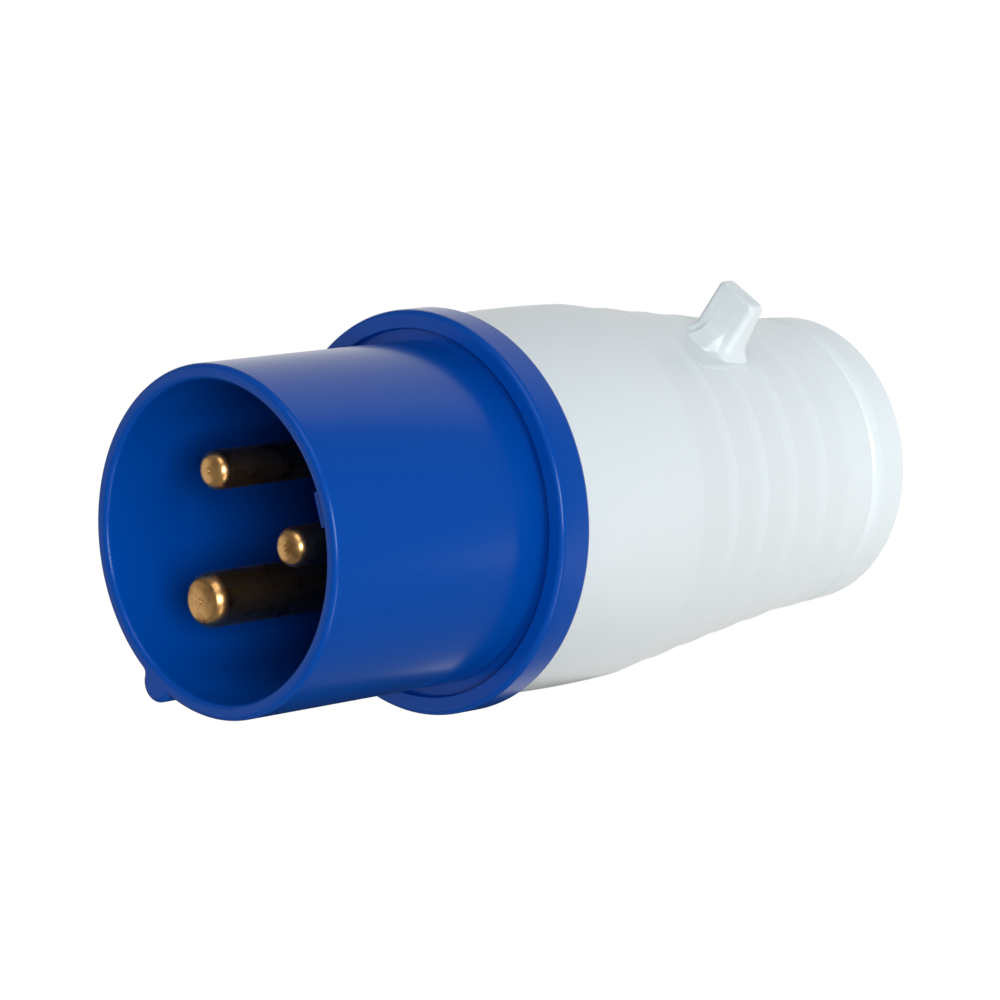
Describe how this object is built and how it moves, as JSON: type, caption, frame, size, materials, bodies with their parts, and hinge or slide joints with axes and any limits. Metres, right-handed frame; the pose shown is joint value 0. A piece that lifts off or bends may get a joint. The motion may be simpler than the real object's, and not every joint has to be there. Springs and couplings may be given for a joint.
{
  "type": "industrial pin and sleeve plug",
  "caption": "Pin and sleeve plug with a keyed sleeve round brass pins, a collar, a tapered housing with grip rings and a lid nose, and a cable gland nut.",
  "frame": {"origin": "centre of the rear face of the gland nut, on the plug's axis; the plug stands on this face", "axes": "+Z along the plug's axis towards the mouth of the sleeve, -Y towards the key and the earth pin, +Y towards the lid nose"},
  "size_m": [0.052, 0.0561, 0.1123],
  "materials": {
    "blue_plastic": "glossy moulded polyamide, deep blue",
    "white_plastic": "glossy moulded polyamide, cool white",
    "pin_brass": "turned brass, plain",
    "screw_steel": "zinc plated steel",
    "guard_bronze": "spring bronze strip",
    "inner_plastic": "matte moulded polyamide, natural",
    "seal_rubber": "black rubber"
  },
  "bodies": {
    "root": {"front_sleeve": "blue_plastic", "rear_housing": "white_plastic", "earth_pin": "pin_brass", "line_pin": "pin_brass", "neutral_pin": "pin_brass", "earth_terminal_screw": "screw_steel", "line_terminal_screw": "screw_steel", "neutral_terminal_screw": "screw_steel", "earth_wire_guard": "guard_bronze", "line_wire_guard": "guard_bronze", "neutral_wire_guard": "guard_bronze", "pin_retainer": "inner_plastic", "retainer_screw": "screw_steel", "cord_clamp_saddle": "inner_plastic", "left_clamp_screw": "screw_steel", "right_clamp_screw": "screw_steel", "front_seal": "seal_rubber", "gland_grommet": "seal_rubber"},
    "washer": {"thrust_washer": "inner_plastic"},
    "nut": {"gland_nut": "white_plastic"}
  },
  "joints": [
    {"name": "nut_travel", "type": "slide", "parent": "root", "child": "washer", "axis": [0, 0, -1], "range_m": [0, 0.004]},
    {"name": "nut_turn", "type": "hinge", "parent": "washer", "child": "nut", "pos_m": [0, 0, 0], "axis": [0, 0, -1], "range_deg": [0, 720]}
  ],
  "couplings": [
    {"joint": "nut_travel", "follows": "nut_turn", "m_per_rad": 0.0003183}
  ]
}
